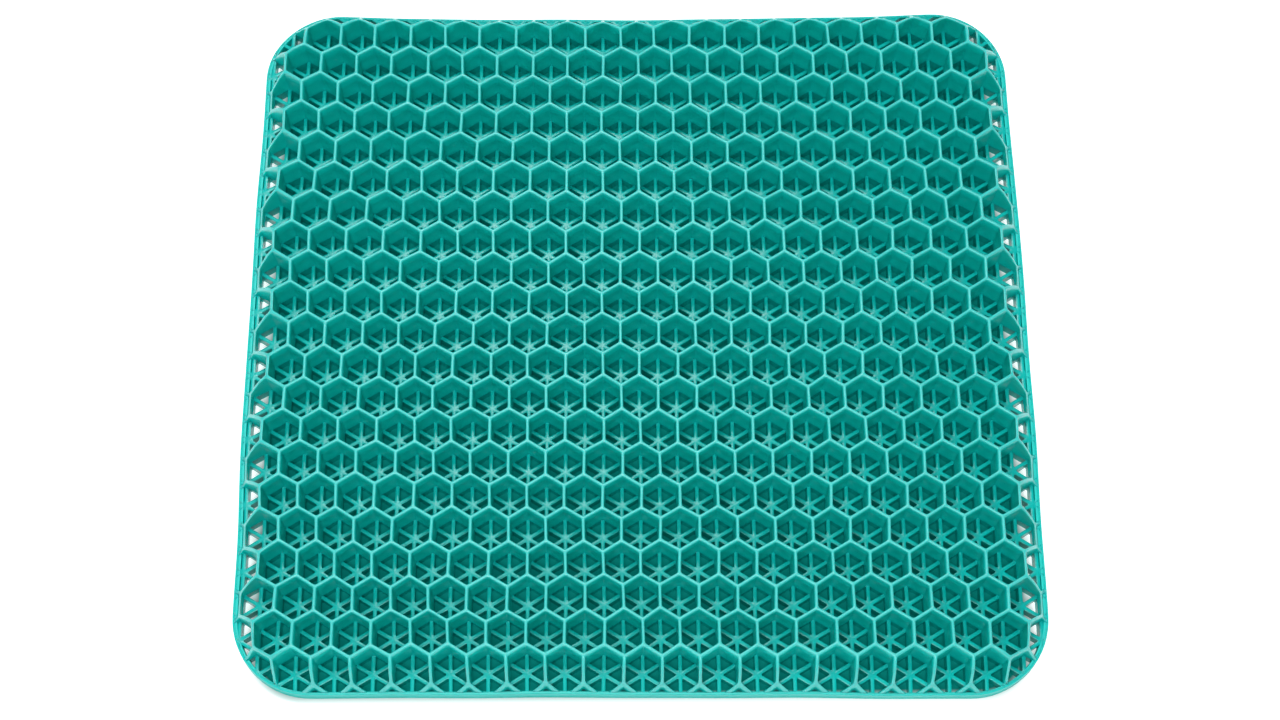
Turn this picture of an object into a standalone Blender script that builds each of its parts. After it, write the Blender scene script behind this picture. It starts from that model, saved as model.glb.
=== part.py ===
"""Honeycomb gel seat cushion, in metres, +Z up.

The cushion is one soft moulding in two layers with a rim around it.  The model keeps its three
zones as separate solids: the open honeycomb that is sat on, the base lattice under it, and the
rim.  The origin is the middle of the footprint, on the surface that the cushion lies on.  +X runs
across the seat and +Y towards its back.
"""
import math

import bmesh
import bpy
from mathutils import Vector
from mathutils.geometry import delaunay_2d_cdt

# Overall sizes.
WIDTH = 0.438            # over the foot of the rim, side to side
DEPTH = 0.404            # over the foot of the rim, front to back
HEIGHT = 0.027           # floor to the top of the honeycomb
CORNER_RADIUS = 0.043    # outside corner of the rim, seen from above

# The honeycomb: hexagons with two walls that run front to back.
CELL_PITCH = 0.0204      # from cell to cell along a row
ROW_PITCH = 0.0185       # from row to row
CELL_WALL = 0.0018       # wall between two cells
LATTICE_Y = -0.0059      # middle cell of the middle row, which lies in front of the origin
SHOULDER = 0.0150        # width of the rounded edge of the seat
EDGE_STEP = 0.0015       # height of the cell walls where they reach the rim
SMALLEST_CUT = 0.25      # an edge cell is cut where its middle is this share of a pitch past the rim

# The base and the rim.
BASE_HEIGHT = 0.008      # floor to the underside of the honeycomb
RIM_HEIGHT = 0.008       # floor to the top of the rim
RIM_WALL = 0.0016        # thickness of the rim at its top
RIM_DRAFT = 0.0005       # how far the top of the rim stands in from its foot
FOOT_HEIGHT = 0.0018     # height of the bead along the foot of the rim
FOOT_STEP = 0.0003       # how far the bead stands out from the rim above it

SEAM = 0.0003            # gap that keeps neighbouring zones apart
ARC_STEPS = 8            # straight pieces in each rounded corner


def inside_by(x, y, inset):
    """Distance from a point to the rim's outline moved in by inset; positive inside it."""
    radius = CORNER_RADIUS - inset
    over_x = abs(x) - (WIDTH / 2 - inset - radius)
    over_y = abs(y) - (DEPTH / 2 - inset - radius)
    outside = math.hypot(max(over_x, 0.0), max(over_y, 0.0))
    return radius - outside - min(max(over_x, over_y), 0.0)


def rounded_outline(inset):
    """The rim's outline moved in by inset: four quarter circles joined by straight sides."""
    radius = CORNER_RADIUS - inset
    middle_x = WIDTH / 2 - CORNER_RADIUS
    middle_y = DEPTH / 2 - CORNER_RADIUS
    points = []
    for turn, (side_x, side_y) in enumerate(((1, 1), (-1, 1), (-1, -1), (1, -1))):
        for step in range(ARC_STEPS + 1):
            angle = (turn + step / ARC_STEPS) * math.pi / 2
            points.append(Vector((side_x * middle_x + radius * math.cos(angle),
                                  side_y * middle_y + radius * math.sin(angle))))
    return points


def cell_outline(centre, wall):
    """Opening of one cell: the hexagon of the pattern moved in by half a wall on every side."""
    tip = ROW_PITCH * 2 / 3
    scale = 1.0 - wall / CELL_PITCH
    corners = ((0, tip), (-CELL_PITCH / 2, tip / 2), (-CELL_PITCH / 2, -tip / 2),
               (0, -tip), (CELL_PITCH / 2, -tip / 2), (CELL_PITCH / 2, tip / 2))
    return [centre + Vector(corner) * scale for corner in corners]


def cell_centres(inset):
    """Middles of the cells that open inside the rim; every second row is shifted half a pitch."""
    rows = math.ceil(DEPTH / 2 / ROW_PITCH) + 1
    columns = math.ceil(WIDTH / 2 / CELL_PITCH) + 1
    centres = []
    for row in range(-rows, rows + 1):
        shift = CELL_PITCH / 2 if row % 2 else 0.0
        for column in range(-columns, columns + 1):
            centre = Vector((column * CELL_PITCH + shift, LATTICE_Y + row * ROW_PITCH))
            if inside_by(centre.x, centre.y, inset) > -SMALLEST_CUT * CELL_PITCH:
                centres.append(centre)
    return centres


def seat_height(x, y, inset):
    """Top of the honeycomb: a quarter sine wave that climbs from the rim to the flat middle."""
    run = min(max(inside_by(x, y, inset), 0.0) / SHOULDER, 1.0)
    low = BASE_HEIGHT + EDGE_STEP
    return low + (HEIGHT - low) * math.sin(run * math.pi / 2)


def soft_gel(name, colour, roughness):
    """Plain gel material in one colour."""
    material = bpy.data.materials.new(name)
    material.use_nodes = True
    shader = material.node_tree.nodes["Principled BSDF"]
    shader.inputs["Base Color"].default_value = (*colour, 1.0)
    shader.inputs["Roughness"].default_value = roughness
    shader.inputs["Metallic"].default_value = 0.0
    material.diffuse_color = (*colour, 1.0)
    return material


def add_part(name, mesh_builder, material):
    """Turn a finished bmesh into a named object with outward faces."""
    bmesh.ops.recalc_face_normals(mesh_builder, faces=mesh_builder.faces[:])
    mesh = bpy.data.meshes.new(name)
    mesh_builder.to_mesh(mesh)
    mesh_builder.free()
    mesh.materials.append(material)
    part = bpy.data.objects.new(name, mesh)
    bpy.context.scene.collection.objects.link(part)
    return part


def largest_island(builder):
    """Delete every face that the largest connected sheet doesn't reach."""
    unseen = set(builder.faces)
    islands = []
    while unseen:
        island = {unseen.pop()}
        front = list(island)
        while front:
            for edge in front.pop().edges:
                for face in edge.link_faces:
                    if face in unseen:
                        unseen.remove(face)
                        island.add(face)
                        front.append(face)
        islands.append(island)
    islands.sort(key=len)
    loose = [face for island in islands[:-1] for face in island]
    bmesh.ops.delete(builder, geom=loose, context="FACES")


def build_honeycomb(inset, material):
    """Wall pattern of the cells, cut off at the rim and raised to the seat's surface.

    The wall pattern is the rounded outline without the cell openings, as flat triangles.
    """
    points = rounded_outline(inset)
    faces = [list(range(len(points)))]
    for centre in cell_centres(inset):
        corners = cell_outline(centre, CELL_WALL)
        faces.append(list(range(len(points), len(points) + len(corners))))
        points.extend(corners)
    flat_points, _, triangles, _, _, sources = delaunay_2d_cdt(points, [], faces, 1, 1e-7)

    builder = bmesh.new()
    corners = [builder.verts.new((point.x, point.y, BASE_HEIGHT + SEAM)) for point in flat_points]
    for triangle, source in zip(triangles, sources):
        if list(source) == [0]:
            builder.faces.new([corners[index] for index in triangle])
    largest_island(builder)
    unused = [corner for corner in builder.verts if not corner.link_faces]
    bmesh.ops.delete(builder, geom=unused, context="VERTS")

    lifted = bmesh.ops.extrude_face_region(builder, geom=builder.faces[:], use_keep_orig=True)
    for item in lifted["geom"]:
        if isinstance(item, bmesh.types.BMVert):
            item.co.z = seat_height(item.co.x, item.co.y, inset)
    return add_part("upper_honeycomb", builder, material)


def stack_outlines(builder, levels, closed):
    """Walls between outlines at (inset, height) levels; closed joins the last to the first."""
    loops = []
    for inset, height in levels:
        loops.append([builder.verts.new((point.x, point.y, height))
                      for point in rounded_outline(inset)])
    if closed:
        loops.append(loops[0])
    for lower, upper in zip(loops, loops[1:]):
        for index in range(len(lower)):
            after = (index + 1) % len(lower)
            builder.faces.new((lower[index], lower[after], upper[after], upper[index]))
    return loops


def build_base(inset, material):
    """The base as one plain slab that fills the rim."""
    builder = bmesh.new()
    loops = stack_outlines(builder, ((inset, 0.0), (inset, BASE_HEIGHT)), closed=False)
    builder.faces.new(loops[0])
    builder.faces.new(loops[-1])
    return add_part("base_lattice", builder, material)


def build_rim(inner_inset, material):
    """The rim: a drafted wall with a bead along its foot, carried round the outline."""
    builder = bmesh.new()
    levels = ((inner_inset, 0.0),
              (0.0, 0.0),
              (0.0, FOOT_HEIGHT),
              (FOOT_STEP, FOOT_HEIGHT + FOOT_STEP),
              (RIM_DRAFT, RIM_HEIGHT),
              (inner_inset, RIM_HEIGHT))
    stack_outlines(builder, levels, closed=True)
    return add_part("perimeter_rim", builder, material)


for old_object in list(bpy.data.objects):
    bpy.data.objects.remove(old_object, do_unlink=True)

rim_inner = RIM_DRAFT + RIM_WALL
zone_inset = rim_inner + SEAM
build_honeycomb(zone_inset, soft_gel("honeycomb_gel", (0.03, 0.60, 0.53), 0.42))
build_base(zone_inset, soft_gel("base_gel", (0.02, 0.42, 0.37), 0.45))
build_rim(rim_inner, soft_gel("rim_gel", (0.03, 0.52, 0.47), 0.42))
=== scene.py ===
import math

import bmesh
import bpy
import numpy as np
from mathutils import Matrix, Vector


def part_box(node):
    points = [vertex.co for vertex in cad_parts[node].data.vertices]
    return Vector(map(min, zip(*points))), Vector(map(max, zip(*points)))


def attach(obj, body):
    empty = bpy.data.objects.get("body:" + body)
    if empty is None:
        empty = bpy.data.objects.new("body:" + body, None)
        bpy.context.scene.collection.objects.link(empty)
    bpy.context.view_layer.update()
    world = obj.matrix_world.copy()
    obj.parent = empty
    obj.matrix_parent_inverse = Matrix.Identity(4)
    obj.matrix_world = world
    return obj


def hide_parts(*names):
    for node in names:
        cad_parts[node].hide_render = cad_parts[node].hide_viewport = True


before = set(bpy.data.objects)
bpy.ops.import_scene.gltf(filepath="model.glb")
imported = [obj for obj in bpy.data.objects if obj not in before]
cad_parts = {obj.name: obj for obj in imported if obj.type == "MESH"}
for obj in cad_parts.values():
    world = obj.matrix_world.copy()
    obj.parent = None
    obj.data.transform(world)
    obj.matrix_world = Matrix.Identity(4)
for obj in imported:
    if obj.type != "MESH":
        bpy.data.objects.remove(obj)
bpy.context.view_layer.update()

# Heights and outer sizes come from the frame; all lengths are in metres.
rimLow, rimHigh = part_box("perimeter_rim")
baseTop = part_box("base_lattice")[1].z
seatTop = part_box("upper_honeycomb")[1].z
halfSize = np.array([rimHigh.x - rimLow.x, rimHigh.y - rimLow.y]) / 2
rimTop = rimHigh.z

pattern = {
    "cellPitch": 0.0204,     # across a row
    "rowPitch": 0.0185,      # from row to row
    "middleY": -0.0059,      # the middle row lies in front of the middle of the footprint
    "rows": 12,              # rows laid out each way from the middle one
    "firstStarRow": -10,     # the cells from this row to the back have a star of bars under them
    "cornerRadius": 0.043,   # outside corner of the rim
    "wallEnd": 0.0016,       # walls and bars end this far in from the rim's foot, inside its wall
    "ridgeStep": 0.0022,     # distance of the first point of a ridge from its corner
    "smallest": 0.0014,      # an opening that reaches less far inside the rim is left out
    "halvings": 40,          # steps of the search for where a wall crosses the rim
    "strayPast": 1e-6,       # a point this far outside its own opening is astray
}


# Distance inside the rounded rectangle: corner radius less the distance to the inner rectangle.
def insideBy(place, inset):
    radius = pattern["cornerRadius"] - inset
    over = np.abs(place) - (halfSize - inset - radius)
    outside = np.hypot(*np.moveaxis(np.maximum(over, 0.0), -1, 0))
    return radius - outside - np.minimum(over.max(axis=-1), 0.0)


# Nearest point of the rounded rectangle: from the inner rectangle, one radius towards the point.
def ontoOutline(place, inset):
    radius = pattern["cornerRadius"] - inset
    inner = halfSize - inset - radius
    anchor = np.clip(place, -inner, inner)
    reach = place - anchor
    leastLength = 1e-9
    length = np.maximum(np.linalg.norm(reach, axis=-1, keepdims=True), leastLength)
    return anchor + reach * radius / length


# Where the line from an inner to an outer point leaves the outline, found by halving the stretch.
def leavingPoint(inner, outer, inset):
    low = np.zeros(inner.shape[:-1])
    high = np.ones(inner.shape[:-1])
    for halving in range(pattern["halvings"]):
        middle = (low + high) / 2
        isInside = insideBy(inner + (outer - inner) * middle[..., None], inset) > 0
        low = np.where(isInside, middle, low)
        high = np.where(isInside, high, middle)
    return inner + (outer - inner) * low[..., None]


# Hexagons with a tip at the front and the back; every second row is shifted by half a pitch.
def cellHexagons():
    steps = np.arange(-pattern["rows"], pattern["rows"] + 1)
    row, column = np.meshgrid(steps, steps, indexing="ij")
    across = (column + (row % 2) / 2) * pattern["cellPitch"]
    deep = pattern["middleY"] + row * pattern["rowPitch"]
    middles = np.stack([across, deep], axis=-1).reshape(-1, 2)
    halfCell = pattern["cellPitch"] / 2
    tip = pattern["rowPitch"] * 2 / 3
    around = np.array([(0, tip), (-halfCell, tip / 2), (-halfCell, -tip / 2),
                       (0, -tip), (halfCell, -tip / 2), (halfCell, tip / 2)])
    hexagons = middles[:, None, :] + around[None, :, :]
    isUsed = insideBy(hexagons, pattern["wallEnd"]).max(axis=1) > pattern["smallest"]
    hasStar = row.ravel() >= pattern["firstStarRow"]
    return middles[isUsed], hexagons[isUsed], hasStar[isUsed]


# Directions of length one along the side that follows each corner, and from that side inwards.
def sideDirections(corners):
    ahead = np.roll(corners, -1, axis=1) - corners
    ahead = ahead / np.linalg.norm(ahead, axis=2, keepdims=True)
    inward = np.stack([-ahead[..., 1], ahead[..., 0]], axis=-1)
    return ahead, inward


# Every side moved in by the inset; a corner becomes the ends of its rounding and a point between.
# With no inset there is no rounding, and the ends stand one ridge step from the corner.
def roundedCorners(corners, rounding, inset):
    ahead, inward = sideDirections(corners)
    behind = np.roll(ahead, 1, axis=1)
    inwardBehind = np.roll(inward, 1, axis=1)
    bisector = ahead - behind
    bisector = bisector / np.linalg.norm(bisector, axis=2, keepdims=True)
    sine = (bisector * inward).sum(axis=2, keepdims=True)
    tangent = sine / np.sqrt(1 - sine ** 2)
    isRidge = inset == 0.0
    along = pattern["ridgeStep"] if isRidge else (inset + rounding) / tangent
    bend = 0.0 if isRidge else rounding * (1 / sine - 1)
    before = corners - behind * along + inwardBehind * inset
    middle = corners + bisector * (inset / sine + bend)
    after = corners + ahead * along + inward * inset
    return before, middle, after


# Brings what lies past the rim back to it, along its own wall where that wall starts inside. The
# three points of each side are its first corner's middle, its start and its end; a point is sure
# when it was inside or was brought back along its wall.
def cutAtRim(middle, start, end):
    rim = pattern["wallEnd"]
    nextMiddle = np.roll(middle, -1, axis=1)
    middleIn, startIn, endIn, nextMiddleIn = [(insideBy(place, rim) > 0)[..., None]
                                              for place in (middle, start, end, nextMiddle)]
    cutStart = np.where(middleIn, leavingPoint(middle, start, rim), ontoOutline(start, rim))
    cutStart = np.where(endIn, leavingPoint(end, start, rim), cutStart)
    cutEnd = np.where(nextMiddleIn, leavingPoint(nextMiddle, end, rim), ontoOutline(end, rim))
    cutEnd = np.where(startIn, leavingPoint(start, end, rim), cutEnd)
    trio = np.stack([np.where(middleIn, middle, ontoOutline(middle, rim)),
                     np.where(startIn, start, cutStart),
                     np.where(endIn, end, cutEnd)], axis=2)
    isSure = np.concatenate([middleIn,
                             startIn | middleIn | endIn,
                             endIn | nextMiddleIn | startIn], axis=2)
    return trio, isSure


# Moves a point on the rim that lies outside its own opening to the nearest sure point.
def withoutStrays(trio, isSure, corners, inset):
    flat = trio.reshape(len(corners), -1, 2)
    isSure = isSure.reshape(len(corners), -1)
    inward = sideDirections(corners)[1]
    fromSides = ((flat[:, :, None] - corners[:, None]) * inward[:, None]).sum(axis=3)
    isPast = fromSides.min(axis=2) < inset - pattern["strayPast"]
    isStray = ~isSure & isPast & isSure.any(axis=1, keepdims=True)
    apart = np.linalg.norm(flat[:, :, None] - flat[:, None], axis=3)
    nearest = np.where(isSure[:, None, :], apart, np.inf).argmin(axis=2)
    moved = np.take_along_axis(flat, nearest[..., None], axis=1)
    return np.where(isStray[..., None], moved, flat).reshape(trio.shape)


# Ring of one level of polygon openings, with points spaced evenly along each side.
def openingRing(corners, rounding, inset, alongSide):
    before, middle, after = roundedCorners(corners, rounding, inset)
    trio, isSure = cutAtRim(middle, after, np.roll(before, -1, axis=1))
    trio = withoutStrays(trio, isSure, corners, inset)
    middle, start, end = np.moveaxis(trio[:, :, :, None], 2, 0)
    shares = np.linspace(0.0, 1.0, alongSide + 2)[None, None, 1:-1, None]
    between = start + (end - start) * shares
    ring = np.concatenate([middle, start, between, end], axis=2)
    return ring.reshape(len(corners), -1, 2)


# Quads between the rings of the levels (inset, height) of many openings of the same kind.
def openingWalls(corners, rounding, levels, heightAt, alongSide):
    rings = []
    for inset, level in levels:
        flat = openingRing(corners, rounding, inset, alongSide)
        rings.append(np.concatenate([flat, heightAt(flat, level)[..., None]], axis=-1))
    points = np.stack(rings, axis=1)
    index = np.arange(points[..., 0].size).reshape(points.shape[:3])
    after = np.roll(index, -1, axis=2)
    quads = np.stack([index[:, :-1], after[:, :-1], after[:, 1:], index[:, 1:]], axis=-1)
    return points.reshape(-1, 3), quads.reshape(-1, 4)


# Plain mesh from arrays of points and quads.
def quadMesh(name, points, quads):
    mesh = bpy.data.meshes.new(name)
    mesh.vertices.add(len(points))
    mesh.vertices.foreach_set("co", points.astype(np.float32).ravel())
    mesh.loops.add(quads.size)
    mesh.loops.foreach_set("vertex_index", quads.astype(np.int32).ravel())
    mesh.polygons.add(len(quads))
    mesh.polygons.foreach_set("loop_start", np.arange(0, quads.size, 4, dtype=np.int32))
    mesh.update(calc_edges=True)
    return mesh


# Carries the open edges above the lowest height straight down to it.
def closeSides(builder, mergeWithin):
    lowest = min(corner.co.z for corner in builder.verts)
    openTop = [edge for edge in builder.edges if edge.is_boundary
               and max(corner.co.z for corner in edge.verts) > lowest + mergeWithin]
    if openTop:
        sides = bmesh.ops.extrude_edge_only(builder, edges=openTop)
        for item in sides["geom"]:
            if isinstance(item, bmesh.types.BMVert):
                item.co.z = lowest
        bmesh.ops.remove_doubles(builder, verts=builder.verts[:], dist=mergeWithin)


# One closed mesh from several sets of quads, with shared points merged and faces outwards.
def weldedMesh(name, parts):
    starts = np.cumsum([0] + [len(points) for points, quads in parts[:-1]])
    allPoints = np.concatenate([points for points, quads in parts])
    allQuads = np.concatenate([part[1] + start for part, start in zip(parts, starts)])
    mesh = quadMesh(name, allPoints, allQuads)
    builder = bmesh.new()
    builder.from_mesh(mesh)
    mergeWithin = 2e-5
    bmesh.ops.remove_doubles(builder, verts=builder.verts[:], dist=mergeWithin)
    closeSides(builder, mergeWithin)
    bmesh.ops.recalc_face_normals(builder, faces=builder.faces[:])
    bmesh.ops.dissolve_degenerate(builder, edges=builder.edges[:], dist=mergeWithin)
    holes = [edge for edge in builder.edges if edge.is_boundary]
    bmesh.ops.holes_fill(builder, edges=holes, sides=0)
    if builder.calc_volume(signed=True) < 0:     # inside out
        bmesh.ops.reverse_faces(builder, faces=builder.faces[:])
    openLeft = sum(edge.is_boundary for edge in builder.edges)
    oddLeft = sum(len(edge.link_faces) > 2 for edge in builder.edges)
    builder.to_mesh(mesh)
    builder.free()
    mesh.update()
    print(f"{name}: {len(mesh.polygons)} faces, {openLeft} open edges, "
          f"{oddLeft} edges with more than two faces")
    return mesh


gelBow = {
    "sidesIn": 0.0023,       # how much narrower half the cushion is at its front and back ends
    "endsOut": 0.0025,       # how much longer half the cushion is at its sides
    "rowBow": 0.0016,        # how far the ends of every row lie behind its middle
    "skew": 0.0011,          # how far the right side is stretched, and the left side shortened
    "wobbleTop": 0.00022,    # height of each small wave at the top of the seat
    "wobbleFoot": 0.00008,   # the same at the floor
    "shortWave": 0.035,      # length of the shortest and of the longest wave
    "longWave": 0.16,
    "waves": 7,
    "seed": 11,
}


# Bow of the soft cushion: x shrinks with y squared, y grows with x squared, and both get waves.
def bowed(points):
    across = points[:, 0] / halfSize[0]
    deep = points[:, 1] / halfSize[1]
    rise = points[:, 2] / seatTop
    bent = points.copy()
    bent[:, 0] -= gelBow["sidesIn"] * across * deep ** 2
    bent[:, 1] += gelBow["rowBow"] * across ** 2 + gelBow["endsOut"] * across ** 2 * deep
    bent[:, 1] += gelBow["skew"] * across * deep
    draw = np.random.default_rng(gelBow["seed"])
    height = gelBow["wobbleFoot"] + (gelBow["wobbleTop"] - gelBow["wobbleFoot"]) * rise
    for axis in (0, 1):
        for wave in range(gelBow["waves"]):
            direction = draw.uniform(0, 2 * math.pi)
            length = draw.uniform(gelBow["shortWave"], gelBow["longWave"])
            phase = draw.uniform(0, 2 * math.pi)
            run = points[:, 0] * math.cos(direction) + points[:, 1] * math.sin(direction)
            bent[:, axis] += height * np.sin(2 * math.pi * run / length + phase)
    return bent


# New object in the scene.
def placed(name, data):
    item = bpy.data.objects.new(name, data)
    bpy.context.scene.collection.objects.link(item)
    return item


# Writes how near each point is to the top of its wall, bends the mesh and makes its object.
def finishedPiece(name, mesh, nearTop):
    points = np.empty(len(mesh.vertices) * 3)
    mesh.vertices.foreach_get("co", points)
    points = points.reshape(-1, 3)
    # This share of height places the painted sheen on the top edges.
    paintedSheenShare = mesh.attributes.new("nearTop", "FLOAT", "POINT")
    paintedSheenShare.data.foreach_set("value", nearTop(points).astype(np.float32))
    mesh.vertices.foreach_set("co", bowed(points).astype(np.float32).ravel())
    mesh.update()
    mesh.shade_smooth()
    sharpFrom = 50           # degrees
    mesh.set_sharp_from_angle(angle=math.radians(sharpFrom))
    return placed(name, mesh)


honeycomb = {
    "wallTop": 0.0016,       # wall thickness at its top and at its foot
    "wallFoot": 0.0020,
    "foot": 0.0008,          # height of the flare where a wall stands on the base
    "flare": 0.6,            # width of the flare, as a share of its height
    "edge": 0.00045,         # rounding of a wall's top edges
    "edgeIn": 0.7,           # middle of the rounding, as shares of it from the face and the top
    "edgeDown": 0.25,
    "corner": 0.0014,        # inside corner of a cell
    "shoulder": 0.0150,      # how far in from the rim the seat is still rounded
    "sideIn": 0.0012,        # how much further in that starts at the left and right
    "sunk": 0.0004,          # how far the walls reach into the base
    "lowest": 0.0003,        # height of the walls where they meet the rim
    "softenBelow": 0.004,    # walls lower than this get smaller edges
    "leastShare": 0.55,      # the side of a wall starts at least this share of its height up
    "footShare": 0.5,        # the foot takes at most this share of it
}


# A quarter sine wave from the rim to the flat middle; it starts further in at the sides.
def seatHeight(flat):
    stretched = flat * np.array([1 + honeycomb["sideIn"] / halfSize[0], 1.0])
    run = np.clip(insideBy(stretched, pattern["wallEnd"]) / honeycomb["shoulder"], 0.0, 1.0)
    low = baseTop + honeycomb["lowest"]
    return low + (seatTop - low) * np.sin(run * math.pi / 2)


# Height of a ring: down from the seat's surface where the level is negative or zero, else up from
# the wall's foot.
def honeycombHeight(flat, level):
    wallFoot = baseTop - honeycomb["sunk"]
    wall = seatHeight(flat) - wallFoot
    if level <= 0:
        drop = level * np.minimum(1.0, wall / honeycomb["softenBelow"])
        return wallFoot + np.maximum(wall + drop, wall * honeycomb["leastShare"])
    return wallFoot + np.minimum(level, wall * honeycomb["footShare"])


# Share of its wall's height at which a point stands.
def honeycombNearTop(points):
    wallFoot = baseTop - honeycomb["sunk"]
    return (points[:, 2] - wallFoot) / (seatHeight(points[:, :2]) - wallFoot)


middles, hexagons, hasStar = cellHexagons()
topInset = honeycomb["wallTop"] / 2
footInset = honeycomb["wallFoot"] / 2
onFoot = 1e-9                # just over zero, which counts up from the wall's foot
honeycombLevels = [
    (0.0, 0.0),
    (topInset - honeycomb["edge"] * honeycomb["edgeIn"],
     -honeycomb["edge"] * honeycomb["edgeDown"]),
    (topInset, -honeycomb["edge"]),
    ((topInset + footInset) / 2, -(seatTop - baseTop) / 2),
    (footInset, honeycomb["sunk"] + honeycomb["foot"]),
    (footInset + honeycomb["foot"] * honeycomb["flare"], onFoot),
    (0.0, onFoot),
]
seatParts = [openingWalls(hexagons, honeycomb["corner"], honeycombLevels, honeycombHeight, 2)]
seat = finishedPiece("seatHoneycomb", weldedMesh("seatHoneycomb", seatParts), honeycombNearTop)


lattice = {
    "bar": 0.0020,           # width of a bar at its top
    "draft": 0.0001,         # how much wider half a bar is at the floor
    "edge": 0.0003,          # rounding of a bar's top edges
    "corner": 0.0005,        # fillet where bars meet
}


# Height of a ring: down from the top of the base where the level is negative or zero, else the
# floor.
def latticeHeight(flat, level):
    return np.full(flat.shape[:-1], baseTop + level if level <= 0 else 0.0)


# Share of the height of the base at which a point stands.
def latticeNearTop(points):
    return points[:, 2] / baseTop


# A cell is divided into six triangles, and the star is the bars left between their openings.
starHexagons = hexagons[hasStar]
starMiddles = np.broadcast_to(middles[hasStar][:, None, :], starHexagons.shape)
starCorners = [starMiddles, starHexagons, np.roll(starHexagons, -1, axis=1)]
triangles = np.stack(starCorners, axis=2).reshape(-1, 3, 2)
reach = insideBy(triangles, pattern["wallEnd"]).max(axis=1)
triangles = triangles[reach > pattern["smallest"]]
barInset = lattice["bar"] / 2
onFloor = 1.0                # any level over zero
latticeLevels = [
    (0.0, 0.0),
    (barInset, -lattice["edge"]),
    (barInset + lattice["draft"], onFloor),
    (0.0, onFloor),
]
latticeParts = [openingWalls(openings, lattice["corner"], latticeLevels, latticeHeight, 0)
                for openings in (triangles, hexagons[~hasStar])]
base = finishedPiece("baseStarLattice", weldedMesh("baseStarLattice", latticeParts), latticeNearTop)


rimShape = {
    "wall": 0.0016,          # thickness at the top
    "draft": 0.0005,         # how far the top stands in from the foot
    "bead": 0.0018,          # height of the bead along the foot
    "beadStep": 0.0003,      # how far the bead stands out
    "footIn": 0.0003,        # chamfer along the floor, and its height
    "footUp": 0.0004,
    "edge": 0.0004,          # rounding of the top edges
    "edgePoints": 4,
    "fall": 0.0003,          # how much lower the top is at its outer edge
    "sideWall": 0.0012,      # how much thicker the rim is at the left and right
    "arcPoints": 18,
    "straightSteps": 48,
}


# Rounded rectangle as four quarter circles and four straight sides, with outward directions.
def rimPath():
    radius = pattern["cornerRadius"]
    inner = halfSize - radius
    signs = np.array([(1, 1), (-1, 1), (-1, -1), (1, -1)])
    stations = []
    directions = []
    for turn in range(4):
        angle = (turn + np.linspace(0, 1, rimShape["arcPoints"])) * math.pi / 2
        outward = np.stack([np.cos(angle), np.sin(angle)], axis=1)
        arc = signs[turn] * inner + radius * outward
        nextStart = signs[(turn + 1) % 4] * inner + radius * outward[-1]
        share = np.linspace(0, 1, rimShape["straightSteps"] + 1)[1:-1, None]
        straight = arc[-1] + (nextStart - arc[-1]) * share
        stations += [arc, straight]
        directions += [outward, np.repeat(outward[-1:], len(straight), axis=0)]
    return np.concatenate(stations), np.concatenate(directions)


# The profile (inset, height, share of the extra thickness) goes up the outside over the bead,
# across the sloping top and down the inside.
def rimProfile():
    draft = rimShape["draft"]
    edge = rimShape["edge"]
    bead = rimShape["bead"]
    step = rimShape["beadStep"]
    footUp = rimShape["footUp"]
    outerTop = rimTop - rimShape["fall"]
    innerFace = draft + rimShape["wall"]
    outer = [(rimShape["footIn"], 0.0, 0.0),
             (0.0, footUp, 0.0),
             (0.0, bead - footUp, 0.0),
             (step / 2, bead, 0.0),
             (step, bead + step, 0.0)]
    inner = []
    for angle in np.linspace(0, math.pi / 2, rimShape["edgePoints"]):
        along = edge * math.cos(angle)
        up = edge * math.sin(angle)
        outer.append((draft + edge - along, outerTop - edge + up, 0.0))
        inner.append((innerFace - edge + up, rimTop - edge + along, 1.0))
    return np.array(outer + inner + [(innerFace, 0.0, 1.0)])


# Closed ring of quads: the profile at every station of the path, moved in from it.
def rimMesh():
    path, outward = rimPath()
    profile = rimProfile()
    extra = rimShape["sideWall"] * outward[:, 0] ** 2
    inset = profile[None, :, 0] + profile[None, :, 2] * extra[:, None]
    flat = path[:, None, :] - outward[:, None, :] * inset[:, :, None]
    height = np.broadcast_to(profile[None, :, 1:2], (len(path), len(profile), 1))
    points = np.concatenate([flat, height], axis=2)
    index = np.arange(len(path) * len(profile)).reshape(len(path), len(profile))
    onward = np.roll(index, -1, axis=0)
    quads = np.stack([index, onward, np.roll(onward, -1, axis=1), np.roll(index, -1, axis=1)],
                     axis=-1)
    return weldedMesh("edgeRim", [(points.reshape(-1, 3), quads.reshape(-1, 4))])


# Share of the height of the rim at which a point stands.
def rimNearTop(points):
    return points[:, 2] / rimTop


rim = finishedPiece("edgeRim", rimMesh(), rimNearTop)


gelShared = {
    "cloudScale": 14.0,
    "cloudDetail": 3.0,
    "grainDetail": 2.0,
    "grainDepth": 0.0002,
    "throughColour": (0.15, 1.0, 0.9),    # how far red, green and blue travel, as shares
    "refraction": 1.45,
}


# New node with values on its sockets.
def newNode(nodes, kind, values):
    node = nodes.new(kind)
    for socket, value in values.items():
        node.inputs[socket].default_value = value
    return node


# New node that blends from one colour to another.
def newBlend(nodes, colourFrom, colourTo):
    blend = nodes.new("ShaderNodeMix")
    blend.data_type = "RGBA"
    blend.inputs["A"].default_value = (*colourFrom, 1.0)
    blend.inputs["B"].default_value = (*colourTo, 1.0)
    return blend
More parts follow.
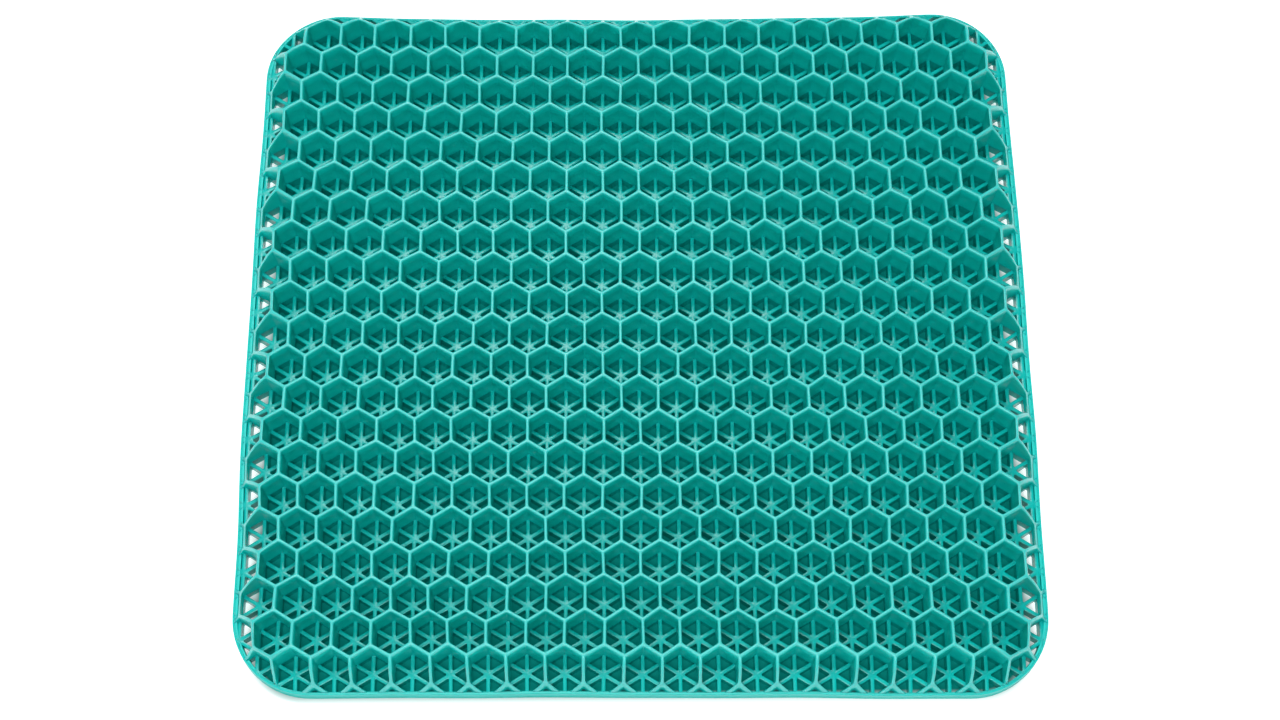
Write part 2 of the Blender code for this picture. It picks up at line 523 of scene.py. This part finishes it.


# Soft gel: cloudy colour, painted sheen that makes it paler near the top edges, fine grain in
# roughness and bump, and light let through.
def gelMaterial(look):
    material = bpy.data.materials.new(look["name"])
    material.use_nodes = True
    nodes = material.node_tree.nodes
    links = material.node_tree.links
    shader = nodes["Principled BSDF"]
    place = nodes.new("ShaderNodeTexCoord")

    cloud = newNode(nodes, "ShaderNodeTexNoise",
                    {"Scale": gelShared["cloudScale"], "Detail": gelShared["cloudDetail"]})
    body = newBlend(nodes, look["deep"], look["light"])
    nearTop = nodes.new("ShaderNodeAttribute")
    nearTop.attribute_name = "nearTop"
    paintedSheenShare = newNode(nodes, "ShaderNodeMapRange",
                       {"From Min": look["paintedSheenFrom"], "To Max": look["paintedSheenAmount"]})
    # Painted sheen: the colour grows paler towards the top of each wall, standing in for light on
    # the top edges.
    withPaintedSheen = newBlend(nodes, look["deep"], look["paintedSheen"])
    links.new(place.outputs["Object"], cloud.inputs["Vector"])
    links.new(cloud.outputs["Fac"], body.inputs["Factor"])
    links.new(nearTop.outputs["Fac"], paintedSheenShare.inputs["Value"])
    links.new(paintedSheenShare.outputs["Result"], withPaintedSheen.inputs["Factor"])
    links.new(body.outputs["Result"], withPaintedSheen.inputs["A"])
    links.new(withPaintedSheen.outputs["Result"], shader.inputs["Base Color"])

    grain = newNode(nodes, "ShaderNodeTexNoise",
                    {"Scale": look["grainScale"], "Detail": gelShared["grainDetail"]})
    rough = newNode(nodes, "ShaderNodeMapRange",
                    {"To Min": look["roughLow"], "To Max": look["roughHigh"]})
    bump = newNode(nodes, "ShaderNodeBump",
                   {"Strength": look["bump"], "Distance": gelShared["grainDepth"]})
    links.new(place.outputs["Object"], grain.inputs["Vector"])
    links.new(grain.outputs["Fac"], rough.inputs["Value"])
    links.new(rough.outputs["Result"], shader.inputs["Roughness"])
    links.new(grain.outputs["Fac"], bump.inputs["Height"])
    links.new(bump.outputs["Normal"], shader.inputs["Normal"])

    shader.inputs["Subsurface Weight"].default_value = look["through"]
    shader.inputs["Subsurface Radius"].default_value = gelShared["throughColour"]
    shader.inputs["Subsurface Scale"].default_value = look["throughDepth"]
    shader.inputs["IOR"].default_value = gelShared["refraction"]
    shader.inputs["Specular IOR Level"].default_value = look["gloss"]
    return material


# Each look's third colour is a painted sheen, laid on towards the top of the walls.
gelLooks = {
    "seat": {"name": "tealGelSeat",
             "deep": (0.0, 0.44, 0.395), "light": (0.002, 0.52, 0.47),
             "paintedSheen": (0.065, 0.54, 0.51), "paintedSheenFrom": 0.88, "paintedSheenAmount": 0.9,
             "grainScale": 900.0, "roughLow": 0.24, "roughHigh": 0.36, "bump": 0.12,
             "through": 0.7, "throughDepth": 0.004, "gloss": 0.45},
    "base": {"name": "tealGelBase",
             "deep": (0.0, 0.36, 0.325), "light": (0.0, 0.42, 0.38),
             "paintedSheen": (0.0, 0.47, 0.44), "paintedSheenFrom": 0.9, "paintedSheenAmount": 0.6,
             "grainScale": 500.0, "roughLow": 0.18, "roughHigh": 0.30, "bump": 0.25,
             "through": 0.6, "throughDepth": 0.003, "gloss": 0.25},
    "rim": {"name": "tealGelRim",
            "deep": (0.0, 0.42, 0.375), "light": (0.002, 0.50, 0.45),
            "paintedSheen": (0.02, 0.62, 0.57), "paintedSheenFrom": 0.9, "paintedSheenAmount": 0.6,
            "grainScale": 900.0, "roughLow": 0.30, "roughHigh": 0.40, "bump": 0.12,
            "through": 0.5, "throughDepth": 0.003, "gloss": 0.3},
}
for piece, key, node, slot in ((seat, "seat", "upper_honeycomb", "honeycomb_gel"),
                               (base, "base", "base_lattice", "base_gel"),
                               (rim, "rim", "perimeter_rim", "rim_gel")):
    piece.data.materials.clear()
    piece.data.materials.append(gelMaterial(gelLooks[key]))
    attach(piece, "root")
    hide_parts(node)
print("gel on the three pieces")


studio = {
    "floorHalf": 3.0,
    "floorDrop": 0.0001,     # the floor lies this far under the cushion
    "floorColour": (0.92, 0.92, 0.92),
    "floorGlow": (0.55, 0.55, 0.55),      # keeps the shadow on the open floor faint
    "floorRough": 0.9,
    "floorGloss": 0.1,
    "paintedShadeColour": (0.0, 0.16, 0.14),    # painted shade under the cushion, dark teal as if light came through the gel
    # painted teal glow on the floor under the cushion, standing in for light through the gel
    "paintedGlowUnder": (0.0, 0.065, 0.055),
    "shadedHalf": (0.180, 0.174),         # rounded rectangle: inner half sizes, corner radius
    "shadedRadius": 0.024,
    "shadedFade": 0.008,
    "skyColour": (1.0, 1.0, 1.0),
    "skyStrength": 0.22,
}


# White floor with a rounded rectangle of painted shade and painted glow under the cushion: the
# distance to the inner rectangle, over the corner radius, blends from one to the other.
def floorMaterial():
    material = bpy.data.materials.new("paleFloor")
    material.use_nodes = True
    nodes = material.node_tree.nodes
    links = material.node_tree.links
    shader = nodes["Principled BSDF"]
    place = nodes.new("ShaderNodeTexCoord")
    folded = nodes.new("ShaderNodeVectorMath")
    folded.operation = "ABSOLUTE"
    past = newNode(nodes, "ShaderNodeVectorMath", {1: (*studio["shadedHalf"], 1.0)})
    past.operation = "SUBTRACT"
    beyond = newNode(nodes, "ShaderNodeVectorMath", {1: (0.0, 0.0, 0.0)})
    beyond.operation = "MAXIMUM"
    distance = nodes.new("ShaderNodeVectorMath")
    distance.operation = "LENGTH"
    fadeEnd = studio["shadedRadius"] + studio["shadedFade"]
    openFloor = newNode(nodes, "ShaderNodeMapRange",
                        {"From Min": studio["shadedRadius"], "From Max": fadeEnd})
    links.new(place.outputs["Object"], folded.inputs[0])
    links.new(folded.outputs["Vector"], past.inputs[0])
    links.new(past.outputs["Vector"], beyond.inputs[0])
    links.new(beyond.outputs["Vector"], distance.inputs[0])
    links.new(distance.outputs["Value"], openFloor.inputs["Value"])
    # Under the cushion the floor gets painted shade and a painted teal glow.
    for under, outside, socket in (("paintedShadeColour", "floorColour", "Base Color"),
                                   ("paintedGlowUnder", "floorGlow", "Emission Color")):
        blend = newBlend(nodes, studio[under], studio[outside])
        links.new(openFloor.outputs["Result"], blend.inputs["Factor"])
        links.new(blend.outputs["Result"], shader.inputs[socket])
    shader.inputs["Emission Strength"].default_value = 1.0
    shader.inputs["Roughness"].default_value = studio["floorRough"]
    shader.inputs["Specular IOR Level"].default_value = studio["floorGloss"]
    return material


half = studio["floorHalf"]
drop = studio["floorDrop"]
floorCorners = [(-half, -half, -drop), (half, -half, -drop),
                (half, half, -drop), (-half, half, -drop)]
floorMesh = bpy.data.meshes.new("floor")
floorMesh.from_pydata(floorCorners, [], [(0, 1, 2, 3)])
floorMesh.materials.append(floorMaterial())
floor = placed("floor", floorMesh)

world = bpy.data.worlds.new("studioSky")
world.use_nodes = True
sky = world.node_tree.nodes["Background"]
sky.inputs["Color"].default_value = (*studio["skyColour"], 1.0)
sky.inputs["Strength"].default_value = studio["skyStrength"]
bpy.context.scene.world = world

lamps = [
    {"name": "topSoftbox", "place": (-0.12, 0.75, 1.9), "size": 0.6, "watts": 23.0},
    {"name": "frontSoftbox", "place": (-0.1, -0.65, 1.5), "size": 0.7, "watts": 17.0},
]
for lamp in lamps:
    light = bpy.data.lights.new(lamp["name"], "AREA")
    light.shape = "SQUARE"
    light.size = lamp["size"]
    light.energy = lamp["watts"]
    holder = placed(lamp["name"], light)
    holder.location = lamp["place"]
    holder.rotation_euler = (-Vector(lamp["place"])).to_track_quat("-Z", "Y").to_euler()
print("floor and lights")

view = {
    "place": (-0.0174, -0.4059, 1.0654),
    "turn": (20.322, -0.787, -0.467),     # degrees
    "lens": 56.92,
    "sensor": 36.0,
    "nearest": 0.05,
    "farthest": 20.0,
}
camera = bpy.data.cameras.new("mainCamera")
camera.lens = view["lens"]
camera.sensor_width = view["sensor"]
camera.clip_start = view["nearest"]
camera.clip_end = view["farthest"]
cameraHolder = placed("mainCamera", camera)
cameraHolder.location = view["place"]
cameraHolder.rotation_euler = [math.radians(angle) for angle in view["turn"]]
bpy.context.scene.camera = cameraHolder
bpy.context.scene.view_settings.view_transform = "Standard"
